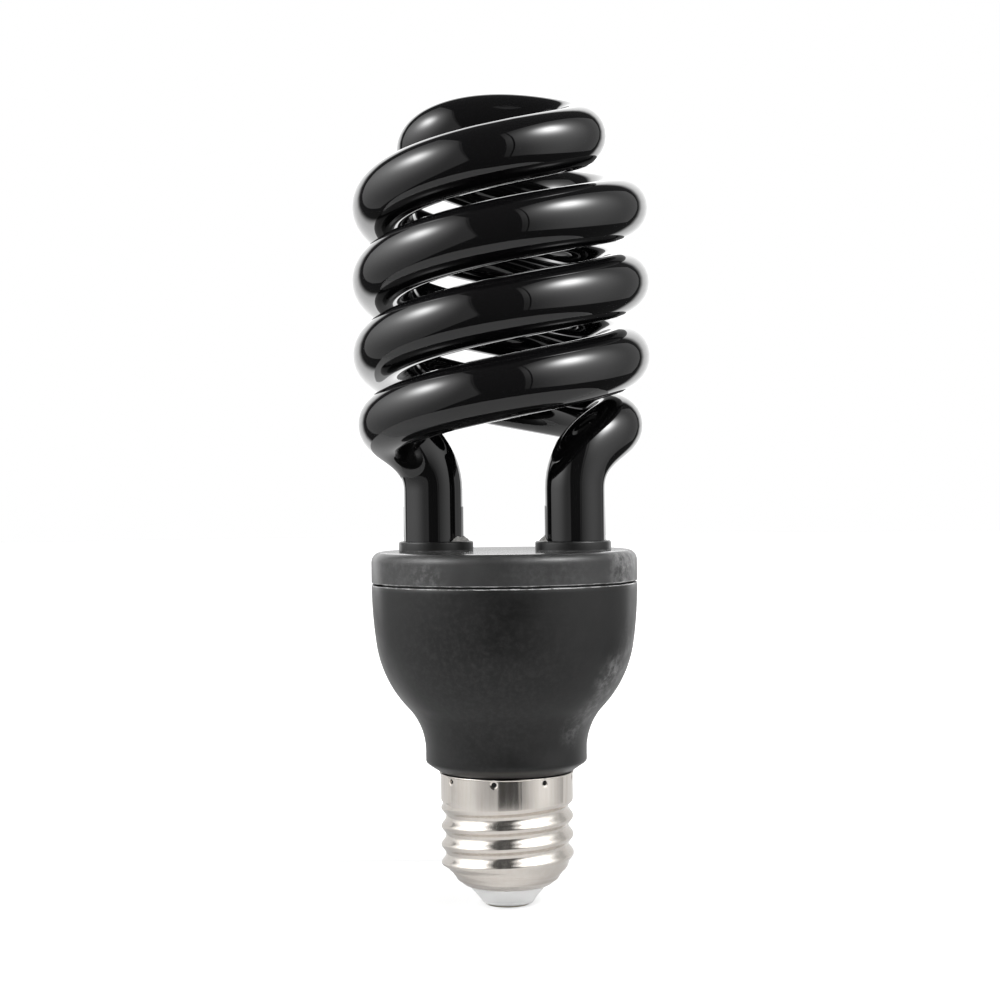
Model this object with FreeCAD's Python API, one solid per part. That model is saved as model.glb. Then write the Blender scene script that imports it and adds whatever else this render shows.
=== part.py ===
import FreeCAD, Part
import math
import os

Vec = FreeCAD.Vector
up = Vec(0, 0, 1)
down = Vec(0, 0, -1)
origin = Vec(0, 0, 0)

# Heights above the centre contact face, in mm
shell_foot_z = 3.9
thread_start_z = 6.9
thread_end_z = 21.7
rim_z = 26.2
seam_z = 63.4
lid_top_z = 69.6
board_top_z = 56.0

# Screw shell: thin metal with a rolled right-hand thread, seven turns an inch
thread_pitch = 3.629
thread_crest_r = 13.1
thread_root_r = 12.1
thread_phase_z = 13.72
thread_run_in = 1.4
thread_run_out = 2.4
skirt_r = 13.0
shell_wall = 0.35
shell_foot_r = 8.2
foot_top_r = 11.05
foot_bulge = 0.4
rim_bead = 0.2
stake_count = 8
stake_first = -56
stake_ball_r = 0.9
stake_depth = 0.22
stake_below_rim = 1.25

# Base insulator and centre contact
tip_r = 5.25
tip_lip_z = 0.3
tip_round = 0.7
cone_r = 7.45
plug_height = 2.7
well_top_r = 8.4
well_floor_r = 3.0
well_floor_z = 3.2
wire_hole_r = 1.0
contact_r = 4.3
contact_thick = 0.8
contact_round = 0.25

# Ballast housing: neck, two flare arcs and a side arc
neck_r = 15.87
neck_bevel = 2.3
bowl_r = 26.15
flare_in_r = 12.4
flare_out_r = 22.8
side_r = 84.0
side_angle = math.radians(8.2)
bowl_wall = 1.8
spigot_wall = 1.6
spigot_gap = 0.05
spigot_length = 4.4
ledge_width = 2.0
ledge_height = 1.2
seam_bevel = 0.3

# Housing lid
lid_edge_r = 2.0
lid_plate = 1.8
lid_rim_wall = 1.5
lid_rim_depth = 3.0
lid_rim_gap = 0.1
peg_r = 1.2
peg_count = 4
collar_r = 7.4
collar_h = 1.9
collar_inset = 0.45
collar_round = 0.4
bore_gap = 0.25
bead_width = 0.6
bead_height = 1.1

# Glass tube: two strands that wind down from an S-shaped bridge
tube_r = 5.95
coil_r = 23.54
coil_pitch = 29.15
coil_turn = 12.1
bridge_z = 151.8
bridge_angle = 3.185
bridge_spread = 0.75
bridge_rise = 1.9
rise_spread = 0.47
leg_x = 13.95
leg_y = 4.0
leg_top_z = 81.6
leg_in = 9.5
elbow_start = 13.0
elbow_end = 11.0

# Circuit board and the parts that hang below it
board_clear = 1.4
board_thick = 1.6
board_gap = 0.15
key_r = 1.2
pin_r = 0.3
pin_out = 1.2
can_r = 5.0
can_h = 16.0
can_y = 8.5
can_round = 0.5
choke_y = -11.0
core_length = 13.0
core_width = 6.0
core_height = 11.0
core_yoke = 2.0
core_leg = 3.4
coil_width = 2.9
winding_round = 1.5
toroid_r = 4.6
toroid_hole_r = 2.3
toroid_h = 4.0
toroid_round = 0.6
toroid_x = 12.5
toroid_y = 5.5
diode_r = 1.2
diode_length = 4.6
fuse_r = 1.5
fuse_length = 7.0
fuse_y = 17.0
transistor_r = 2.4
transistor_h = 4.8
transistor_flat = 1.3
transistor_pin = 2.2
transistor_pin_step = 1.27
film_round = 0.6
filament_step = 2.2
wire_r = 0.4
neutral_x = 8.6
neutral_bend = 1.5
neutral_gap = 0.12

board_bottom_z = board_top_z - board_thick
plate_z = lid_top_z - lid_plate
collar_top_z = lid_top_z + collar_h
leg_foot_z = lid_top_z - leg_in
spigot_r = skirt_r - shell_wall - spigot_gap
board_r = bowl_r - bowl_wall - board_clear


def rz(r, z):
    return Vec(r, 0, z)


def line(p, q):
    return Part.LineSegment(p, q).toShape()


def chain(points):
    return [line(p, q) for p, q in zip(points, points[1:])]


def arc_at(centre, radius, start, end):
    """Arc in the XZ plane, its angles measured from +X towards +Z."""
    points = []
    for angle in (start, (start + end) / 2, end):
        points.append(centre + rz(radius * math.cos(angle), radius * math.sin(angle)))
    return Part.Arc(*points).toShape()


def revolved(edges):
    """Turn a closed outline of the XZ half plane about the lamp axis."""
    return Part.Face(Part.Wire(edges)).revolve(origin, up, 360)


def turned(points):
    """Turn a closed outline of straight sides, given as (r, z) pairs."""
    corners = [rz(r, z) for r, z in points]
    return revolved(chain(corners + corners[:1]))


def rod(radius, length, base, direction=up):
    return Part.makeCylinder(radius, length, base, direction)


def closed_edges(shape, low=-math.inf, high=math.inf):
    """The round edges of a shape that lie wholly between two heights."""
    edges = [e for e in shape.Edges if e.isClosed() and len(e.Vertexes) == 1]
    return [e for e in edges if e.BoundBox.ZMin > low and e.BoundBox.ZMax < high]


def upright_edges(shape):
    return [e for e in shape.Edges if abs(e.tangentAt(e.FirstParameter).z) > 0.9]


def half_turn(shape):
    other = shape.copy()
    other.rotate(origin, up, 180)
    return other


def placed(shape, x, y, z, turn=0):
    shape.rotate(origin, up, turn)
    shape.translate(Vec(x, y, z))
    return shape


def coil_point(phi):
    """Centre line of the left strand; phi is the angle wound below the bridge."""
    r = coil_r * math.sqrt(1 - math.exp(-phi / bridge_spread))
    angle = bridge_angle - phi
    drop = coil_pitch * phi / (2 * math.pi)
    z = bridge_z - drop + bridge_rise * math.exp(-phi / rise_spread)
    return Vec(r * math.cos(angle), r * math.sin(angle), z)


def coil_station(phi):
    step = 1e-5
    way = coil_point(phi + step) - coil_point(phi - step)
    return coil_point(phi), way.normalize()


def elbow_station(start, way, t):
    """Cubic blend from the end of the coil to the top of the left leg."""
    d = Vec(-leg_x, leg_y, leg_top_z)
    a = start
    b = start + way * elbow_start
    c = d + up * elbow_end
    s = 1 - t
    point = a * s**3 + b * (3 * s * s * t) + c * (3 * s * t * t) + d * t**3
    slope = (b - a) * (s * s) + (c - b) * (2 * s * t) + (d - c) * (t * t)
    return point, slope.normalize()


def tangent_arc(start, way, end):
    """Arc that leaves start along way and ends at end."""
    chord = end - start
    side = way - chord * (way.dot(chord) / chord.dot(chord))
    if side.Length < 1e-9:
        return line(start, end)
    bulge = chord.Length / 2 * math.tan(way.getAngle(chord) / 2)
    middle = start + chord * 0.5 + side.normalize() * bulge
    return Part.Arc(start, middle, end).toShape()


def tangent_arcs(first, second):
    """Two tangent arcs from one station of the path to the next."""
    p, way_p = first
    q, way_q = second
    gap = q - p
    turn = 2 * (1 - way_p.dot(way_q))
    lead = gap.dot(way_p + way_q)
    reach = (math.sqrt(lead * lead + turn * gap.dot(gap)) - lead) / turn
    joint = (p + q + (way_p - way_q) * reach) * 0.5
    return [tangent_arc(p, way_p, joint), tangent_arc(q, way_q * -1, joint)]


def tube_half():
    """Path edges from the middle of the bridge to the foot of the left leg."""
    bridge_way = Vec(math.cos(bridge_angle), math.sin(bridge_angle), 0)
    stations = [(Vec(0, 0, bridge_z + bridge_rise), bridge_way)]
    lobe_shares = (0.25, 0.5, 0.72, 0.9)
    for share in lobe_shares:
        lobe_phi = -bridge_spread * math.log(1 - share * share)
        stations.append(coil_station(lobe_phi))
    steps = 12
    for i in range(1, steps + 1):
        stations.append(coil_station(lobe_phi + (coil_turn - lobe_phi) * i / steps))
    coil_end, coil_way = stations[-1]
    for t in (0.3, 0.65, 1.0):
        stations.append(elbow_station(coil_end, coil_way, t))
    edges = []
    for first, second in zip(stations, stations[1:]):
        edges += tangent_arcs(first, second)
    edges.append(line(stations[-1][0], Vec(-leg_x, leg_y, leg_foot_z)))
    return edges


def make_glass_tube():
    half = tube_half()
    other_half = [half_turn(edge) for edge in half]
    path = Part.Wire(Part.__sortEdges__(half + other_half))
    section = Part.Wire(Part.makeCircle(tube_r, Vec(-leg_x, leg_y, leg_foot_z), up))
    return path.makePipeShell([section], True, False)


def smooth_step(x):
    x = max(0.0, min(1.0, x))
    return x * x * (3 - 2 * x)


def thread_loft(wall):
    """Cut across, a rolled thread is a circle set off the axis that turns once a pitch."""
    mean_r = (thread_crest_r + thread_root_r) / 2
    offset = (thread_crest_r - thread_root_r) / 2
    count = round(10 * (thread_end_z - thread_start_z) / thread_pitch)
    circles = []
    for i in range(count + 1):
        z = thread_start_z + (thread_end_z - thread_start_z) * i / count
        run_in = smooth_step((z - thread_start_z) / thread_run_in)
        run_out = smooth_step((thread_end_z - z) / thread_run_out)
        off = offset * run_in * run_out
        r = mean_r - wall - (mean_r - foot_top_r) * (1 - run_in) + (skirt_r - mean_r) * (1 - run_out)
        angle = 2 * math.pi * (z - thread_phase_z) / thread_pitch
        centre = Vec(off * math.cos(angle), off * math.sin(angle), z)
        circles.append(Part.Wire(Part.makeCircle(r, centre, up)))
    return Part.makeLoft(circles, True, False)


def shell_foot(wall):
    """Solid inside the rounded foot of the shell, up to the thread."""
    low = rz(shell_foot_r, shell_foot_z + wall)
    high = rz(foot_top_r - wall, thread_start_z)
    rise = high - low
    middle = low + rise * 0.5 + Vec(rise.z, 0, -rise.x).normalize() * foot_bulge
    return revolved([Part.Arc(low, middle, high).toShape()]
                    + chain([high, rz(0, thread_start_z), rz(0, shell_foot_z + wall), low]))


def make_screw_shell():
    bead_z = rim_z - rim_bead
    skirt = revolved(
        [arc_at(rz(skirt_r, bead_z), rim_bead, -math.pi / 2, math.pi / 2)]
        + chain([rz(skirt_r, rim_z), rz(0, rim_z), rz(0, thread_end_z), rz(skirt_r, thread_end_z),
                 rz(skirt_r, bead_z - rim_bead)]))
    outside = skirt.fuse([thread_loft(0), shell_foot(0)])
    skirt_bore = rod(skirt_r - shell_wall, rim_z - thread_end_z, rz(0, thread_end_z))
    foot_hole = rod(shell_foot_r, 2 * shell_wall, rz(0, shell_foot_z - shell_wall))
    inside = skirt_bore.fuse([thread_loft(shell_wall), shell_foot(shell_wall), foot_hole])
    reach = skirt_r + stake_ball_r - stake_depth
    stakes = []
    for i in range(stake_count):
        angle = math.radians(stake_first - 90 + 360 / stake_count * i)
        place = Vec(reach * math.cos(angle), reach * math.sin(angle), rim_z - stake_below_rim)
        stakes.append(Part.makeSphere(stake_ball_r, place))
    return outside.cut(inside).cut(stakes)


def make_base_insulator():
    """Cone below the shell and a plug that lies against the shell's foot."""
    foot_inside_z = shell_foot_z + shell_wall
    plug_top_z = shell_foot_z + plug_height
    above_plug = rod(2 * thread_crest_r, thread_end_z, rz(0, plug_top_z))
    plug = shell_foot(shell_wall).cut(above_plug)
    lip = rz(contact_r, tip_lip_z)
    tip = rz(tip_r, tip_lip_z + tip_round)
    swell = (tip_r - contact_r) * 0.3
    cone_step = shell_foot_r - cone_r
    cone = revolved(
        [Part.Arc(lip, (lip + tip) * 0.5 + rz(swell / 2, -swell / 2), tip).toShape()]
        + chain([tip, rz(cone_r, shell_foot_z - cone_step / 2), rz(shell_foot_r, shell_foot_z),
                 rz(shell_foot_r, foot_inside_z), rz(0, foot_inside_z), rz(0, contact_thick),
                 rz(contact_r, contact_thick), lip]))
    well = turned([
        (0, well_floor_z), (well_floor_r, well_floor_z), (well_top_r, plug_top_z), (0, plug_top_z)])
    wire_hole = rod(wire_hole_r, plug_top_z, origin)
    return cone.fuse(plug).cut([well, wire_hole])


def make_centre_contact():
    disc = rod(contact_r, contact_thick, origin)
    return disc.makeFillet(contact_round, closed_edges(disc, high=contact_thick / 2))


def bowl_curve(wall):
    """Two flare arcs and the side arc of the bowl, each tangent to the next."""
    cos_side = math.cos(side_angle)
    reach = neck_r + flare_in_r - bowl_r + side_r * (1 - cos_side) + flare_out_r * cos_side
    flare = math.acos(reach / (flare_in_r + flare_out_r))
    side_foot_z = seam_z - side_r * math.sin(side_angle)
    out_z = side_foot_z + flare_out_r * math.sin(side_angle)
    neck_top_z = out_z - (flare_in_r + flare_out_r) * math.sin(flare)
    out_r = bowl_r - side_r + (side_r - flare_out_r) * cos_side
    edges = [
        arc_at(rz(neck_r + flare_in_r, neck_top_z), flare_in_r + wall, math.pi, math.pi - flare),
        arc_at(rz(out_r, out_z), flare_out_r - wall, -flare, -side_angle),
        arc_at(rz(bowl_r - side_r, seam_z), side_r - wall, -side_angle, 0)]
    return edges, neck_top_z


def bowl_solid(wall, outline):
    """Solid within the bowl curve, closed below the neck by (r, z) pairs."""
    edges, neck_top_z = bowl_curve(wall)
    low_z = outline[0][1]
    corners = [rz(bowl_r - wall, seam_z), rz(0, seam_z), rz(0, low_z)]
    corners += [rz(r, z) for r, z in outline]
    corners.append(rz(neck_r - wall, neck_top_z))
    return revolved(edges + chain(corners))


def make_ballast_housing():
    """Bowl with a spigot in the shell and a ledge under the board."""
    spigot_z = rim_z - spigot_length
    bore_r = spigot_r - spigot_wall
    neck_z = rim_z + neck_bevel
    bevel_r = skirt_r + rim_bead
    outside = bowl_solid(0, [
        (spigot_r, spigot_z), (spigot_r, rim_z), (bevel_r, rim_z),
        (neck_r - 0.25 * neck_bevel, rim_z + 0.7 * neck_bevel), (neck_r, neck_z)])
    inside = bowl_solid(bowl_wall, [
        (bore_r, spigot_z), (bore_r, rim_z + bowl_wall), (neck_r - bowl_wall, neck_z + bowl_wall)])
    ledge_r = bowl_r - bowl_wall - ledge_width
    ledge = turned([
        (ledge_r, board_bottom_z), (bowl_r, board_bottom_z),
        (bowl_r, board_bottom_z - ledge_height - 2 * ledge_width), (ledge_r, board_bottom_z - ledge_height)])
    pocket_r = board_r + board_gap
    pocket = rod(pocket_r, board_thick + board_gap, rz(0, board_bottom_z))
    bevel = turned([
        (bowl_r - seam_bevel, seam_z), (bowl_r + seam_bevel, seam_z),
        (bowl_r + seam_bevel, seam_z - 2 * seam_bevel)])
    return outside.cut(inside).fuse(ledge.common(outside)).cut([pocket, bevel])


def make_housing_lid():
    """Cover with two collars; pegs inside its rim hold the board on its ledge."""
    rim_out_r = bowl_r - bowl_wall - lid_rim_gap
    rim_in_r = rim_out_r - lid_rim_wall
    rim_foot_z = seam_z - lid_rim_depth
    edge_z = lid_top_z - lid_edge_r
    edge_r = bowl_r - lid_edge_r
    body = revolved(
        [arc_at(rz(edge_r, edge_z), lid_edge_r, 0, math.pi / 2)]
        + chain([rz(edge_r, lid_top_z), rz(0, lid_top_z), rz(0, plate_z), rz(rim_in_r, plate_z),
                 rz(rim_in_r, rim_foot_z), rz(rim_out_r, rim_foot_z), rz(rim_out_r, seam_z),
                 rz(bowl_r - seam_bevel, seam_z), rz(bowl_r, seam_z + seam_bevel), rz(bowl_r, edge_z)]))
    peg_place = rim_in_r - peg_r / 3
    pieces = []
    for i in range(peg_count):
        angle = 2 * math.pi * (i + 0.5) / peg_count
        place = Vec(peg_place * math.cos(angle), peg_place * math.sin(angle), board_top_z)
        pieces.append(rod(peg_r, plate_z - board_top_z, place))
    collar = rod(collar_r, lid_plate + collar_h, Vec(-leg_x + collar_inset, leg_y, plate_z))
    collar = collar.makeFillet(collar_round, closed_edges(collar, low=lid_top_z))
    pieces += [collar, half_turn(collar)]
    bore = rod(tube_r + bore_gap, collar_top_z - leg_foot_z, Vec(-leg_x, leg_y, leg_foot_z))
    return body.fuse(pieces).cut([bore, half_turn(bore)]).removeSplitter()


def make_leg_cement():
    """Cement that fills the left bore and stands up on the inner side of the leg."""
    fill = rod(tube_r + bore_gap, collar_top_z - plate_z, Vec(-leg_x, leg_y, plate_z))
    bead_place = Vec(-leg_x + collar_inset, leg_y, collar_top_z)
    bead = Part.makeCone(tube_r + bead_width, tube_r - collar_inset, bead_height, bead_place)
    leg = rod(tube_r, leg_top_z - leg_foot_z, Vec(-leg_x, leg_y, leg_foot_z))
    return fill.fuse(bead).cut(leg)


def make_board():
    key = rod(key_r, board_thick, Vec(0, board_r, board_bottom_z))
    return rod(board_r, board_thick, rz(0, board_bottom_z)).cut(key)


def make_can():
    """Smoothing capacitor: an upright can with rounded ends."""
    body = rod(can_r, can_h, Vec(0, can_y, board_bottom_z - can_h))
    return body.makeFillet(can_round, closed_edges(body))


def make_axial(radius, length, x, y):
    """Round part that lies on the board, with both leads bent up to it."""
    along = Vec(1, 0, 0)
    body = rod(radius, length, Vec(-length / 2, 0, -radius), along)
    body = body.makeFillet(radius * 0.4, closed_edges(body))
    reach = length / 2 + pin_out
    leads = [rod(pin_r, 2 * reach, Vec(-reach, 0, -radius), along)]
    for side in (-1, 1):
        leads.append(rod(pin_r, radius + pin_r, Vec(side * (reach - pin_r), 0, -radius - pin_r)))
    return placed(body.fuse(leads), x, y, board_bottom_z)


def make_transistor(x, y, turn):
    """Flat-sided plastic body on three short pins."""
    body = rod(transistor_r, transistor_h, rz(0, -transistor_h - transistor_pin))
    flat = Part.makeBox(2 * transistor_r, transistor_r, transistor_h)
    flat.translate(Vec(-transistor_r, transistor_flat, -transistor_h - transistor_pin))
    pins = []
    for step in (-1, 0, 1):
        pins.append(rod(pin_r, transistor_pin, Vec(step * transistor_pin_step, 0, -transistor_pin)))
    return placed(body.cut(flat).fuse(pins), x, y, board_bottom_z, turn)


def make_film_capacitor(length, width, height, x, y):
    box = Part.makeBox(length, width, height, Vec(-length / 2, -width / 2, -height))
    return placed(box.makeFillet(film_round, upright_edges(box)), x, y, board_bottom_z)


def make_choke():
    """Ferrite core with two windows, and the winding round its middle leg."""
    floor_z = board_bottom_z - core_height
    core = Part.makeBox(core_length, core_width, core_height)
    core.translate(Vec(-core_length / 2, choke_y - core_width / 2, floor_z))
    window_height = core_height - 2 * core_yoke
    windows = []
    for x in (core_leg / 2, -core_leg / 2 - coil_width):
        window = Part.makeBox(coil_width, core_width, window_height)
        window.translate(Vec(x, choke_y - core_width / 2, floor_z + core_yoke))
        windows.append(window)
    core = core.cut(windows)
    winding_length = core_leg + 2 * coil_width
    winding_width = core_width + 2 * coil_width
    winding = Part.makeBox(winding_length, winding_width, window_height)
    winding.translate(Vec(-winding_length / 2, choke_y - winding_width / 2, floor_z + core_yoke))
    winding = winding.makeFillet(winding_round, upright_edges(winding))
    return core, winding.cut(core)


def make_toroid():
    place = Vec(toroid_x, toroid_y, board_bottom_z - toroid_h)
    ring = rod(toroid_r, toroid_h, place).cut(rod(toroid_hole_r, toroid_h, place))
    return ring.makeFillet(toroid_round, closed_edges(ring, high=board_bottom_z - toroid_h / 2))


def make_neutral_lead():
    """Down through the neck, then out to the inside of a thread crest."""
    turn_z = thread_phase_z + thread_pitch
    shell_reach = thread_crest_r - shell_wall - neutral_gap
    bend_centre = rz(neutral_x + neutral_bend, turn_z + neutral_bend)
    path = Part.Wire([
        line(rz(neutral_x, board_bottom_z), rz(neutral_x, turn_z + neutral_bend)),
        arc_at(bend_centre, neutral_bend, math.pi, 1.5 * math.pi),
        line(rz(neutral_x + neutral_bend, turn_z), rz(shell_reach, turn_z))])
    section = Part.Wire(Part.makeCircle(wire_r, rz(neutral_x, board_bottom_z), down))
    return path.makePipeShell([section], True, False)


cement_left = make_leg_cement()
choke_core, choke_winding = make_choke()
nodes = {
    "glass_spiral_tube": make_glass_tube(),
    "housing_lid": make_housing_lid(),
    "ballast_housing": make_ballast_housing(),
    "screw_shell": make_screw_shell(),
    "base_insulator": make_base_insulator(),
    "centre_contact": make_centre_contact(),
    "leg_cement_left": cement_left,
    "leg_cement_right": half_turn(cement_left),
    "circuit_board": make_board(),
    "smoothing_capacitor": make_can(),
    "choke_core": choke_core,
    "choke_winding": choke_winding,
    "drive_toroid": make_toroid(),
    "power_transistor_a": make_transistor(-13.5, -9.5, 125),
    "power_transistor_b": make_transistor(13.5, -9.5, 235),
    "film_capacitor_a": make_film_capacitor(4.5, 9.0, 8.0, -13.0, 0.5),
    "film_capacitor_b": make_film_capacitor(4.5, 7.0, 7.0, 13.5, -3.0),
    "fuse_resistor": make_axial(fuse_r, fuse_length, 0, fuse_y),
    "live_lead": rod(wire_r, board_bottom_z - contact_thick, rz(0, contact_thick)),
    "neutral_lead": make_neutral_lead(),
}
diode_places = [(-9.0, 13.5), (-9.0, 10.2), (9.0, 15.0), (9.0, 11.8)]
for number, (x, y) in enumerate(diode_places, 1):
    nodes["rectifier_diode_%d" % number] = make_axial(diode_r, diode_length, x, y)
filament_places = [(-1, -1), (-1, 1), (1, -1), (1, 1)]
for number, (side, shift) in enumerate(filament_places, 1):
    base = Vec(side * leg_x, -side * leg_y + shift * filament_step, board_top_z)
    nodes["filament_lead_%d" % number] = rod(pin_r, leg_foot_z - board_top_z, base)

os.makedirs("parts", exist_ok=True)
for name, shape in nodes.items():
    solid = shape.Solids[0]
    solid.exportStep("parts/%s.step" % name)
    print(name, len(shape.Solids), solid.isValid(), round(solid.Volume, 1))
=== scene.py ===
import bpy
import math
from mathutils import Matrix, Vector, noise


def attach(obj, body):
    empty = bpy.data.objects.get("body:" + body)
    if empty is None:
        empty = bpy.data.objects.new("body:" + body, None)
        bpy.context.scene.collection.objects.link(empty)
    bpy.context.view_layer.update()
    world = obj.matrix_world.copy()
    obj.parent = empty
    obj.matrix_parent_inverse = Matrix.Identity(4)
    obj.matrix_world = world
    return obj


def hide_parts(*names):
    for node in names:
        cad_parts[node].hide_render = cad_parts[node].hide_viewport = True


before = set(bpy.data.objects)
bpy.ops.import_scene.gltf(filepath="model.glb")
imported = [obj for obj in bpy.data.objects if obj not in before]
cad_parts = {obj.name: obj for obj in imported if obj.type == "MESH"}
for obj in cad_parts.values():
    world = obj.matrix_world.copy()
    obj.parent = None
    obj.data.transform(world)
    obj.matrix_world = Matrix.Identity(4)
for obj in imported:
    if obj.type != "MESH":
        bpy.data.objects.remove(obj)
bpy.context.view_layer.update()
mm = 0.001
print("frame loaded:", len(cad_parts), "nodes")


def deselectAll():
    if bpy.context.mode != 'OBJECT':
        bpy.ops.object.mode_set(mode='OBJECT')
    bpy.ops.object.select_all(action='DESELECT')


def pick(piece):
    deselectAll()
    piece.select_set(True)
    bpy.context.view_layer.objects.active = piece


def applyModifier(piece, kind, **settings):
    pick(piece)
    modifier = piece.modifiers.new(kind.title(), kind)
    for key, value in settings.items():
        setattr(modifier, key, value)
    bpy.ops.object.modifier_apply(modifier=modifier.name)


def cleanMesh(piece):
    pick(piece)
    bpy.ops.object.mode_set(mode='EDIT')
    bpy.ops.mesh.select_all(action='SELECT')
    bpy.ops.mesh.remove_doubles(threshold=0.002 * mm)
    bpy.ops.mesh.normals_make_consistent(inside=False)
    bpy.ops.object.mode_set(mode='OBJECT')


def selectEdges(piece, wanted):  # leaves edit mode on, with only these edges selected
    bpy.ops.object.mode_set(mode='EDIT')
    bpy.ops.mesh.select_mode(type='EDGE')
    bpy.ops.mesh.select_all(action='DESELECT')
    bpy.ops.object.mode_set(mode='OBJECT')
    corners = piece.data.vertices
    for edge in piece.data.edges:
        edge.select = wanted([corners[i].co for i in edge.vertices])
    bpy.ops.object.mode_set(mode='EDIT')


def smoothShade(piece, degrees=32):
    pick(piece)
    bpy.ops.object.shade_smooth_by_angle(angle=math.radians(degrees))


def arcRun(r, z, radius, start, end, count):
    points = []
    for i in range(count + 1):
        angle = math.radians(start + (end - start) * i / count)
        points.append((r + radius * math.cos(angle), z + radius * math.sin(angle)))
    return points


def straightRun(start, end, count):  # even points after start, up to end
    points = []
    for i in range(1, count + 1):
        share = i / count
        points.append((start[0] + (end[0] - start[0]) * share, start[1] + (end[1] - start[1]) * share))
    return points


def smoothStep(x):
    x = max(0.0, min(1.0, x))
    return x * x * (3 - 2 * x)


def spinProfile(name, profile, steps, centre=(0, 0)):
    # one point, drawn out along the outline, then spun about an upright axis
    deselectAll()
    bpy.ops.mesh.primitive_plane_add(size=mm, location=(0, 0, 0))
    piece = bpy.context.object
    piece.name = name
    bpy.ops.object.mode_set(mode='EDIT')
    bpy.ops.mesh.select_mode(type='VERT')
    bpy.ops.mesh.select_all(action='SELECT')
    bpy.ops.mesh.merge(type='CENTER')
    corners = [Vector((centre[0] + r, centre[1], z)) * mm for r, z in profile]
    bpy.ops.transform.translate(value=corners[0])
    for here, there in zip(corners, corners[1:]):
        bpy.ops.mesh.extrude_vertices_move(TRANSFORM_OT_translate={"value": there - here})
    bpy.ops.mesh.select_all(action='SELECT')
    axisPoint = (centre[0] * mm, centre[1] * mm, 0)
    bpy.ops.mesh.spin(steps=steps, angle=2 * math.pi, center=axisPoint, axis=(0, 0, 1))
    bpy.ops.object.mode_set(mode='OBJECT')
    cleanMesh(piece)
    return piece


def halfTurn(point):
    return Vector((-point.x, -point.y, point.z))


glassTube = {
    "radius": 5.95,
    "coilRadius": 23.54,
    "pitch": 29.15,
    "turn": 12.1,  # radians wound by each strand
    "bridgeHeight": 151.8,
    "bridgeAngle": 3.185,
    "bridgeSpread": 0.75,
    "bridgeRise": 1.9,
    "riseSpread": 0.47,
    "legX": 13.95,
    "legY": 4.0,
    "legTop": 81.6,
    "legFoot": 60.1,
    "elbowStart": 13.0,
    "elbowEnd": 11.0,
    "lobeEnd": 0.95,  # share of the full radius that the even steps reach
    "lobeSteps": 40,
    "coilStep": 0.05,
    "elbowSteps": 28,
    "roundness": 12,
}


def coilPoint(phi):
    t = glassTube
    r = t["coilRadius"] * math.sqrt(1 - math.exp(-phi / t["bridgeSpread"]))
    angle = t["bridgeAngle"] - phi
    z = t["bridgeHeight"] - t["pitch"] * phi / (2 * math.pi)
    z += t["bridgeRise"] * math.exp(-phi / t["riseSpread"])
    return Vector((r * math.cos(angle), r * math.sin(angle), z))


def strandPoints():
    t = glassTube
    points = []
    for i in range(t["lobeSteps"]):  # even steps of radius out of the bridge
        share = t["lobeEnd"] * i / t["lobeSteps"]
        points.append(coilPoint(-t["bridgeSpread"] * math.log(1 - share * share)))
    phi = -t["bridgeSpread"] * math.log(1 - t["lobeEnd"] ** 2)
    count = round((t["turn"] - phi) / t["coilStep"])
    for i in range(count + 1):
        points.append(coilPoint(phi + (t["turn"] - phi) * i / count))
    nudge = 1e-4
    way = (coilPoint(t["turn"] + nudge) - coilPoint(t["turn"] - nudge)).normalized()
    a = points[-1]
    b = a + way * t["elbowStart"]
    d = Vector((-t["legX"], t["legY"], t["legTop"]))
    c = d + Vector((0, 0, t["elbowEnd"]))
    for i in range(1, t["elbowSteps"] + 1):
        u = i / t["elbowSteps"]
        s = 1 - u
        points.append(a * s ** 3 + b * (3 * s * s * u) + c * (3 * s * u * u) + d * u ** 3)
    for share in (0.25, 0.5, 0.75, 1.0):
        points.append(d + Vector((0, 0, (t["legFoot"] - t["legTop"]) * share)))
    return points


def buildGlassTube():
    # a path through the worked-out centre line, given its round section and made a mesh
    deselectAll()
    left = strandPoints()
    centres = list(reversed(left)) + [halfTurn(p) for p in left[1:]]
    bpy.ops.curve.primitive_nurbs_path_add(location=(0, 0, 0))
    piece = bpy.context.object
    piece.name = "glass_tube"
    path = piece.data
    path.splines.clear()
    spline = path.splines.new('POLY')
    spline.points.add(len(centres) - 1)
    for point, centre in zip(spline.points, centres):
        point.co = (centre.x * mm, centre.y * mm, centre.z * mm, 1)
    path.bevel_depth = glassTube["radius"] * mm
    path.bevel_resolution = glassTube["roundness"]
    path.use_fill_caps = True
    pick(piece)
    bpy.ops.object.convert(target='MESH')
    piece = bpy.context.object
    cleanMesh(piece)
    smoothShade(piece, 40)
    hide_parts("glass_spiral_tube")
    return piece


housing = {
    "neckRadius": 15.87,
    "neckFoot": 26.2,
    "neckBevel": 2.3,
    "bevelCorner": [(0.45, 0.74), (0.12, 0.88)],  # inset, share of the bevel's height
    "neckGroove": 0.35,  # dark step between the neck and the metal rim
    "grooveLip": (0.25, 0.6),  # inset, share of the groove's height
    "footRadius": 13.2,
    "bowlRadius": 26.15,
    "flareIn": 12.4,
    "flareOut": 22.8,
    "sideArc": 84.0,
    "sideAngle": 8.2,
    "seam": 63.4,
    "seamBevel": 0.3,
    "seamRound": (0.06, 0.05),  # inset and drop of the seam's corner
    "seamInset": 0.2,
    "seamGap": 0.34,
    "wall": 1.8,
    "spigotRadius": 12.6,
    "spigotFoot": 21.8,
    "steps": 320,
    "arcSteps": (12, 18, 10),
    "flash": 0.07,  # how rough the seam's edge is
    "flashReach": 0.35,
    "flashFrom": 25.4,
    "flashWaves": (0.35, 1.1),
    "flashRound": 26,
    "flashShort": 0.8,  # share of the short waves
    "flashSeed": 3,
}


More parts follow.
